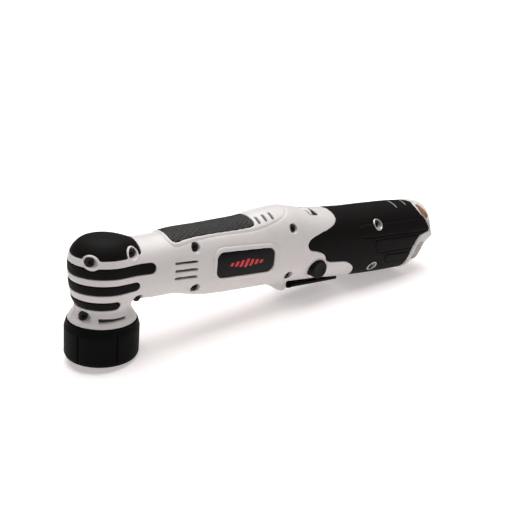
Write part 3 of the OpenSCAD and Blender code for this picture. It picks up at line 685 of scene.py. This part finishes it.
def with_screw_wells(shape, x, y, z, skin):
    """Adds the low collars round the screws on the left side, and drills their wells."""
    for number, screw in enumerate(SCREWS):
        radius, proud = [COLLAR_R, 0.35] if number < COLLARED else [WELL_R + 0.9, 0.12]
        band = np.maximum(skin - proud, -skin - 3)
        shape = smooth_min(shape, smooth_max(collar_zone(x, y, z, screw, radius), band, 0.8), 0.5)
    for screw in SCREWS + REAR_SCREWS:
        drilled = np.maximum(well(x, z, screw) - WELL_R, y + screw[2] - WELL_DEPTH)
        shape = smooth_max(shape, -drilled, 0.7)
    return shape


def housing(side):
    """One half of the housing: -1 is the left half and 1 the right."""
    def field(x, y, z):
        skin = body(x, y, z)
        shape = outer_face(x, y, z, skin)
        if side < 0:
            shape = with_screw_wells(shape, x, y, z, skin)
            shape = smooth_max(shape, -np.maximum(nose_slot(x, y, z), 14.9 - np.hypot(x, y)), 0.3)
        shape = smooth_max(shape, -openings(side, x, y, z), 0.5)
        shape = smooth_max(shape, housing_zone(x, z), 0.6)
        shape = np.maximum(shape, -hollow(x, y, z))
        return smooth_max(shape, 0.06 - side * y, 0.35)

    return field


def make_housing():
    for side, name in ((-1, "left_housing"), (1, "right_housing")):
        low = [-24, -31 if side < 0 else -0.9, 24.5]
        high = [289, 0.9 if side < 0 else 31, 93]
        solid(name + "_shell", housing(side), low, high, 0.6, shell_grey, "housing", "grey_plastic", [name])


def make_shade_linings():
    """Black sheets deep in the nose slot, the top vents and the dial's opening: painted shade inside these
    openings.
    """
    def slot(x, y, z):
        radius = np.hypot(x, y)
        return np.maximum(nose_slot(x, y, z) + 0.06, np.maximum(radius - 17, 15.1 - radius))

    def vents(x, y, z):
        skin = body(x, y, z)
        shape = FAR
        for along in TOP_VENTS_X:
            shape = np.minimum(shape, bar(np.abs(y), x, *TOP_VENTS_Y, along, 0.9))
        return np.maximum(shape, np.maximum(np.maximum(skin + 1.6, -skin - 3.2), 74 - z))

    def dial_sides(x, y, z):
        skin = body(x, y, z)
        shape = np.maximum(dial_opening(x, y, 0.1), 0.3 + DIAL_W / 2 - np.abs(x - DIAL_X))
        return np.maximum(smooth_max(shape, skin + 0.5, 0.3), -skin - 3.3)

    # Each of these black sheets paints the shade inside its opening.
    look = [inner_black_and_painted_shade, "housing", "black_plastic"]
    solid("nose_slot_painted_shade", slot, [-11, -19, 28], [9, -12, 33], 0.3, *look)
    solid("top_vent_painted_shade", vents, [107, -15, 74], [125, 15, 92], 0.35, *look)
    solid("dial_opening_painted_shade", dial_sides, [155, -14, 77], [168, 14, 92], 0.35, *look)


# ---- Soft parts ----


def keep_clear_of_collars(shape, x, y, z):
    """Leaves room round the collared screw wells."""
    for screw in SCREWS[:COLLARED]:
        shape = smooth_max(shape, 0.1 - collar_zone(x, y, z, screw, COLLAR_R), 0.4)
    return shape


def pad(zone, proud=0.15, edge=1.0, carve=None):
    """A soft part that fills its zone of the housing, a little proud, with rounded edges."""
    def field(x, y, z):
        skin = body(x, y, z)
        top = skin - proud
        if carve:
            top = top + carve(x, y, z)
        shape = smooth_max(top, zone(x, y, z) + 0.1, edge)
        shape = np.maximum(shape, -skin - PAD_DEPTH + 0.05)
        return keep_clear_of_collars(shape, x, y, z)

    return field


def make_head_pads():
    low, high = [-24, -24, 34], [32, 24, 82]
    solid("head_cap_pad", pad(lambda x, y, z: cap_zone(x, z)), low, high, 0.5, soft_black, "housing",
          "soft_rubber", ["head_cap"])
    for name, stripe in STRIPES.items():
        field = pad(lambda x, y, z, s=stripe: stripe_zone(x, z, s), 0.1)
        solid(name + "_pad", field, low, high, 0.5, soft_black, "housing", "soft_rubber", [name])


def pebbles(u, v, pitch):
    """Rounded bumps on a triangular lattice, from 0 between them to 1 on top."""
    turn = 4 * math.pi / (math.sqrt(3) * pitch)
    waves = [np.cos(turn * (u * math.cos(a) + v * math.sin(a))) for a in (0, math.pi / 3, 2 * math.pi / 3)]
    return (sum(waves) + 1.5) / 4.5


def make_top_grip():
    def grain(x, y, z):
        inner = smooth_step(-grip_zone(x, y) / 1.5)
        return PEBBLE_DEPTH * inner * (1 - pebbles(x, y * 1.05, PEBBLE_PITCH))

    field = pad(lambda x, y, z: on_top(grip_zone, x, y, z), 0.2, 1.2, grain)
    solid("top_grip_pad", field, [38, -15.5, 64], [108.5, 15.5, 92], 0.4, pebbled_black, "housing",
          "textured_rubber", ["top_grip"])


def make_rear_grips():
    panels = [outline(curve_through(p, 4, True), [195, 35], [290, 82]) for p in PANELS]

    def relief(x, y, z):
        """Raised finger panels with a groove round the foot of each."""
        nearest = panels[0](x, z)
        for panel in panels[1:]:
            nearest = np.minimum(nearest, panel(x, z))
        return 0.35 * smooth_step(nearest / 1.2 + 0.2) + crease(nearest - 0.6, 0.6, 0.55)

    whole = pad(lambda x, y, z: rear_zone(x, z), 0.1, 1.1, relief)

    def half_of(side):
        def field(x, y, z):
            shape = whole(x, y, z)
            for screw in REAR_SCREWS:
                shape = smooth_max(shape, 0.1 - collar_zone(x, y, z, screw, BUSH_R), 0.4)
            shape = smooth_max(shape, LOCK_R + 2.3 - np.hypot(x - LOCK_X, z - LOCK_Z), 0.5)
            return smooth_max(shape, 0.05 - side * y, 0.4)

        return field

    for side, name in ((-1, "left_rear_grip"), (1, "right_rear_grip")):
        low = [145, -31 if side < 0 else -0.9, 22]
        high = [288, 0.9 if side < 0 else 31, 90]
        solid(name + "_pad", half_of(side), low, high, 0.5, soft_black, "housing", "soft_rubber", [name])


def stroke(u, v, start, end, half):
    """Distance to a straight stroke with round ends."""
    du, dv = end[0] - start[0], end[1] - start[1]
    t = np.clip(((u - start[0]) * du + (v - start[1]) * dv) / (du * du + dv * dv), 0, 1)
    return np.hypot(u - start[0] - t * du, v - start[1] - t * dv) - half


def make_rear_marks():
    """Two slanted strokes on top of the rear grip."""
    def field(x, y, z):
        skin = body(x, y, z)
        strokes = FAR
        for start, end, half in REAR_MARKS:
            strokes = np.minimum(strokes, stroke(x, y, start, end, half))
        face = smooth_max(skin + 0.03, strokes, 0.2)
        return np.maximum(face, np.maximum(-skin - 0.5, 60 - z))

    solid("rear_marks", field, [252, -13, 78], [276, 5, 88], 0.3, mark_grey, "housing", "soft_rubber")


# ---- Name plates ----


def make_name_plates():
    for side, name in ((-1, "left_name_plate"), (1, "right_name_plate")):
        low = [70, -26 if side < 0 else 15, 47]
        high = [120, -15 if side < 0 else 26, 69]
        solid(name + "_cover", plate(side), low, high, 0.4, plate_black, "housing", "plate_plastic", [name])
        device = name.replace("name_plate", "plate_emblem")
        solid(device, emblem(side), low, high, 0.25, emblem_red, "housing", "plate_plastic")


def plate(side):
    def field(x, y, z):
        skin = body(x, y, z)
        shape = smooth_max(skin + 0.25, plate_zone(x, z) + 0.12, 0.6)
        return np.maximum(np.maximum(shape, -skin - 1.2), -side * y)

    return field


def emblem(side):
    """A plain device of slanted bars on the name plate, shorter towards both ends."""
    middle = sum(PLATE_Z) / 2

    def field(x, y, z):
        skin = body(x, y, z)
        lean = x + side * EMBLEM_SLANT * (z - middle)
        shape = FAR
        for centre, half in EMBLEM_BARS:
            width = [centre - EMBLEM_BAR_HALF, centre + EMBLEM_BAR_HALF]
            height = [middle - half, middle + half]
            shape = np.minimum(shape, rounded_box(lean, z, width, height, 0.4))
        return np.maximum(np.maximum(shape, skin + 0.1), np.maximum(-skin - 0.6, -side * y))

    return field


# ---- Skirt ----


def skirt(x, y, z):
    """The rubber ring round the spindle, with six upright grooves."""
    radius = np.hypot(x, y)
    shape = skirt_side(radius, z) - SKIRT_ROUND
    for k in range(3):
        angle = math.radians(30 + 60 * k)
        off = np.abs(x * math.sin(angle) - y * math.cos(angle)) - 0.5
        groove = np.maximum(off, np.maximum(SKIRT_R - SKIRT_GROOVE_DEPTH - radius, z - SKIRT_GROOVE_TOP))
        shape = smooth_max(shape, -groove, 0.3)
    band = np.maximum(np.abs(z - SKIRT_BAND_Z) - 0.12, SKIRT_R - 0.25 - radius)
    return smooth_max(shape, -band, 0.2)


def make_skirt():
    solid("skirt_ring", skirt, [-25, -25, -1], [25, 25, 27], 0.45, skirt_black, "housing", "skirt_rubber",
          ["skirt"])


# ---- Paddle, lock and dial ----


def paddle(x, y, z):
    """The lever: a crowned plate, hollow above, with ribs and two ears round the pivot."""
    plan = rounded_box(x, y, [PADDLE_X[0] + 0.3, PADDLE_X[1] - 0.3], [-PADDLE_HALF, PADDLE_HALF], 2.2)
    under = np.interp(x, *zip(*PADDLE_UNDER)) + SKIN + 0.006 * y * y
    above = np.interp(x, *zip(*PADDLE_ABOVE))
    shape = smooth_max(smooth_max(under - z, z - above, 1.0), plan, 1.3)
    dish_x, dish_y, dish_floor = PADDLE_DISH
    dish = np.maximum(rounded_box(x, y, dish_x, dish_y, 1.5), dish_floor - z)
    ribs = np.abs((x - dish_x[0]) % 8.5 - 4.25) - 0.6
    shape = smooth_max(shape, -np.maximum(dish, -ribs), 0.3)
    for side in (-1, 1):
        ear = smooth_max(bar(z, x, 32, 34.3, PIVOT_X, 3.6), np.abs(y - side * 9) - 1.4, 0.5)
        shape = smooth_min(shape, ear, 0.6)
    shape = smooth_max(shape, 1.6 - np.hypot(x - PIVOT_X, z - PIVOT_Z), 0.2)
    grooves = np.abs((x - 155) % 3.2 - 1.6) - 0.35
    patch = np.maximum(np.abs(x - 167) - 10.8, np.abs(y) - 8)
    grip = np.maximum(grooves, np.maximum(patch, z - under - 0.35))
    return smooth_max(shape, -grip, 0.3)


def lock_button(x, y, z):
    """The cross button: two round heads joined by a rod, the outer faces a little dished."""
    radius = np.hypot(x - LOCK_X, z - LOCK_Z)
    dish = 0.5 * smooth_step(1.15 - radius / 5.6)
    left = smooth_max(radius - LOCK_R + 0.08, np.maximum(LOCK_FACES[0] + dish - y, y + 14), 1.2)
    right = smooth_max(radius - LOCK_R + 0.08, np.maximum(y - LOCK_FACES[1] + dish, 14 - y), 1.4)
    rod = np.maximum(radius - 3.1, np.abs(y) - 15)
    return np.minimum(np.minimum(left, right), rod)


def dial(x, y, z):
    """The thumb wheel, with notches all round."""
    radius = np.hypot(y, z - DIAL_Z)
    turn = np.arctan2(z - DIAL_Z, y)
    ridges = 0.32 * (0.5 - 0.5 * np.cos(30 * turn)) ** 2
    shape = smooth_max(radius - DIAL_R + 0.06 + ridges, np.abs(x - DIAL_X) - DIAL_W / 2 + 0.05, 0.8)
    shape = smooth_max(shape, np.minimum(6 - radius, 0.6 - np.abs(np.abs(x - DIAL_X) - DIAL_W / 2)), 0.3)
    return np.maximum(shape, 1.6 - radius)


def make_controls():
    solid("paddle_lever", paddle, [143, -13.5, 25.5], [197.5, 13.5, 39], 0.4, button_black, "paddle",
          "black_plastic", ["paddle"])
    solid("lock_cross_button", lock_button, [152.5, -29, 38], [168.5, 23, 54], 0.4, button_black, "lock",
          "black_plastic", ["lock_button"])
    solid("speed_dial_wheel", dial, [158, -12.5, 63.5], [165, 12.5, 88.5], 0.3, dial_white, "dial",
          "dial_plastic", ["speed_dial"])


def coil(radius, wire, low, high, turns):
    """Points and quads of a round-wire spring standing along Z."""
    steps, sides = 28 * turns, 8
    points = []
    for i in range(steps + 1):
        share = i / steps
        angle = 2 * math.pi * turns * share
        lift = low + wire + (high - low - 2 * wire) * share
        for j in range(sides):
            turn = 2 * math.pi * j / sides
            reach = radius + wire * math.cos(turn)
            points.append((reach * math.cos(angle), reach * math.sin(angle), lift + wire * math.sin(turn)))
    quads = []
    for i in range(steps):
        for j in range(sides):
            k = (j + 1) % sides
            quads.append((i * sides + j, (i + 1) * sides + j, (i + 1) * sides + k, i * sides + k))
    return np.array(points), np.array(quads)


def make_paddle_spring():
    points, quads = coil(SPRING_R - 0.4, SPRING_WIRE_R, *SPRING_Z, SPRING_TURNS)
    spring = mesh_object("paddle_coil", points + np.array([SPRING_X, 0, 0]), quads)
    hand_over(spring, bright_rim, "housing", ["paddle_spring"])
    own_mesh(spring)


# ---- Bushes and battery ----


def make_bushes():
    """Bright rings that line the two rear screw wells."""
    def field(x, y, z):
        skin = handle(x, y, z) + SKIN
        shape = FAR
        for screw in REAR_SCREWS:
            ring = np.maximum(collar_zone(x, y, z, screw, BUSH_R - 0.1), WELL_R + 0.1 - well(x, z, screw))
            shape = np.minimum(shape, ring)
        return smooth_max(shape, skin - 0.3, 0.6)

    solid("bush_rings", field, [215, -30, 34], [228, -15, 82], 0.3, bright_rim, "housing", "bright_ring",
          ["screw_bushes"])


def past_end(x, y, z):
    """How far a point is behind the battery's bulged rear end."""
    return 0.85 * end_zone(x - BASE_CROWN * (1 - (y / BASE_HALF) ** 2), z)


def window_zone(x, y, z):
    """Distance to the oval recess high on the battery's left side."""
    start, end = np.array(WINDOW_ENDS, float)
    along = end - start
    reach = (x - start[0]) * along[0] + (y - start[1]) * along[1] + (z - start[2]) * along[2]
    share = np.clip(reach / (along @ along), 0, 1)
    near = [start[i] + share * along[i] for i in range(3)]
    return np.sqrt((x - near[0]) ** 2 + (y - near[1]) ** 2 + (z - near[2]) ** 2) - WINDOW_R


def base(x, y, z):
    """The battery's outer shell: fills the handle's rear end and bulges out behind it."""
    skin = handle(x, y, z) + SKIN
    shape = smooth_max(skin, past_end(x, y, z) + 0.3, 2.4)
    front = housing_zone(x - 0.75, z)
    shape = smooth_max(shape, -front, 0.5)
    shape = smooth_max(shape, -np.maximum(np.abs(front - 2.6) - 0.2, -skin - 0.4), 0.3)
    shape = smooth_max(shape, -np.maximum(latch_zone(x, z) - 0.35, -skin - 7), 0.6)
    shape = smooth_max(shape, -np.maximum(window_zone(x, y, z), -skin - 1.4), 0.7)
    shape = smooth_max(shape, -np.maximum(rounded_box(y, z, REAR_HOLLOW_Y, REAR_HOLLOW_Z, 3), 294.5 - x), 0.8)
    for height in REAR_GROOVES_Z:
        groove = np.maximum(bar(y, z, *REAR_GROOVES_Y, height, 0.55), 292.9 - x)
        shape = smooth_max(shape, -groove, 0.3)
    bore = np.maximum(np.hypot(y, z - AXIS_Z) - STEM_R - 0.2, x - CASE_END - 0.25)
    return smooth_max(shape, -bore, 0.2)


# A dark amber sheet sunk 0.7 mm into the real oval recess, painting the recess's shade and warm bounce light.
def recess_shade_sheet(x, y, z):
    skin = handle(x, y, z) + SKIN
    return np.maximum(smooth_max(window_zone(x, y, z) + 0.1, skin + 0.7, 0.6), -skin - 1.35)


def latch(side):
    """One sprung catch, ribbed across."""
    def field(x, y, z):
        skin = handle(x, y, z) + SKIN
        ribs = 0.45 + 0.45 * np.cos(2 * math.pi * (z - LATCH_FOOT) / LATCH_RIB_PITCH)
        outer = skin + 0.5 + ribs * smooth_step(-latch_zone(x, z) / 0.8)
        shape = smooth_max(outer, latch_zone(x, z) + 0.08, 0.7)
        return np.maximum(np.maximum(shape, -skin - 4.4), -side * y)

    return field


def make_battery():
    solid("battery_shell", base, [258, -30, 24], [301, 30, 90], 0.55, shell_grey, "battery", "grey_plastic",
          ["battery_base"])
    solid("battery_recess_shade", recess_shade_sheet, [274, -25, 74], [290, -8, 89], 0.3, oval_recess_painted_shade, "battery",
          "grey_plastic")
    for side, name in ((-1, "left_latch"), (1, "right_latch")):
        low = [265, -30 if side < 0 else 10, 41]
        high = [279, -10 if side < 0 else 30, 59]
        solid(name + "_catch", latch(side), low, high, 0.35, catch_grey_painted_shade, name, "grey_plastic", [name])


# ---- Camera, light and floor, in metres ----

CAMERA_PLACE = (-0.144745, -0.342016, 0.193720)
CAMERA_AIM = (0.58052, 0.75364, -0.30827)
CAMERA_LENS = 43.06
# The tool leans back on its tail, so the camera's level line is turned from the tool's.
CAMERA_LEAN = math.radians(6.74)
# The floor's slope in the tool's frame, and the point where it meets the skirt.
FLOOR_SLOPE = math.radians(6.25)
FLOOR_NEAR = (0.0225, 0, 0.0001)
FLOOR_HALF = 3.0


def make_camera():
    data = bpy.data.cameras.new("camera")
    data.lens = CAMERA_LENS
    data.sensor_width = 36
    data.clip_start = 0.01
    data.clip_end = 20
    camera = bpy.data.objects.new("camera", data)
    bpy.context.scene.collection.objects.link(camera)
    forward = Vector(CAMERA_AIM).normalized()
    up = Vector((-math.sin(CAMERA_LEAN), 0, math.cos(CAMERA_LEAN)))
    right = forward.cross(up).normalized()
    true_up = right.cross(forward)
    turn = Matrix((right, true_up, -forward)).transposed()
    camera.matrix_world = Matrix.Translation(CAMERA_PLACE) @ turn.to_4x4()
    bpy.context.scene.camera = camera


def make_floor():
    """A pale floor through the skirt's rear edge and the tail, where the tool stands, brighter far away."""
    along = Vector((math.cos(FLOOR_SLOPE), 0, math.sin(FLOOR_SLOPE))) * FLOOR_HALF
    across = Vector((0, 1, 0)) * FLOOR_HALF
    corners = [Vector(FLOOR_NEAR) + along * a + across * b for a, b in ((-1, -1), (1, -1), (1, 1), (-1, 1))]
    mesh = bpy.data.meshes.new("floor")
    mesh.from_pydata([tuple(c) for c in corners], [], [(0, 1, 2, 3)])
    floor = bpy.data.objects.new("floor", mesh)
    bpy.context.scene.collection.objects.link(floor)
    material, shader = new_material("floor_white")
    shader.inputs["Base Color"].default_value = (0.8, 0.775, 0.77, 1)
    shader.inputs["Roughness"].default_value = 0.6
    shader.inputs["Specular IOR Level"].default_value = 0.2
    shader.inputs["Emission Color"].default_value = (1, 0.945, 0.94, 1)
    tree = material.node_tree
    place = tree.nodes.new("ShaderNodeTexCoord")
    away = tree.nodes.new("ShaderNodeVectorMath")
    away.operation = "LENGTH"
    tree.links.new(place.outputs["Object"], away.inputs[0])
    glow = map_range(tree, away.outputs["Value"], 0.4, 1.0, 0.33, 0.9)
    tree.links.new(glow, shader.inputs["Emission Strength"])
    mesh.materials.append(material)


def make_lights():
    """Soft overhead light; the world looks white to the camera and dimmer to everything else."""
    world = bpy.data.worlds.new("studio")
    world.use_nodes = True
    tree = world.node_tree
    background = tree.nodes["Background"]
    background.inputs["Color"].default_value = (1, 0.99, 0.985, 1)
    path = tree.nodes.new("ShaderNodeLightPath")
    strength = map_range(tree, path.outputs["Is Camera Ray"], 0.2, 1.02, 0, 1)
    tree.links.new(strength, background.inputs["Strength"])
    bpy.context.scene.world = world
    bpy.context.scene.view_settings.view_transform = "Standard"
    add_area("overhead", (0.08, 0.2, 1.05), (0.12, 0, 0.03), 1.1, 18)
    add_area("front_fill", (-0.7, -0.9, 0.45), (0.1, 0, 0.05), 0.6, 0.4)


def add_area(name, place, aim, size, power):
    data = bpy.data.lights.new(name, "AREA")
    data.size = size
    data.energy = power
    light = bpy.data.objects.new(name, data)
    light.location = place
    light.rotation_euler = (Vector(aim) - Vector(place)).to_track_quat("-Z", "Y").to_euler()
    bpy.context.scene.collection.objects.link(light)


make_camera()
make_floor()
make_lights()
dress_carried_nodes()
make_housing()
make_shade_linings()
make_head_pads()
make_top_grip()
make_rear_grips()
make_rear_marks()
make_name_plates()
make_skirt()
make_controls()
make_paddle_spring()
make_bushes()
make_battery()
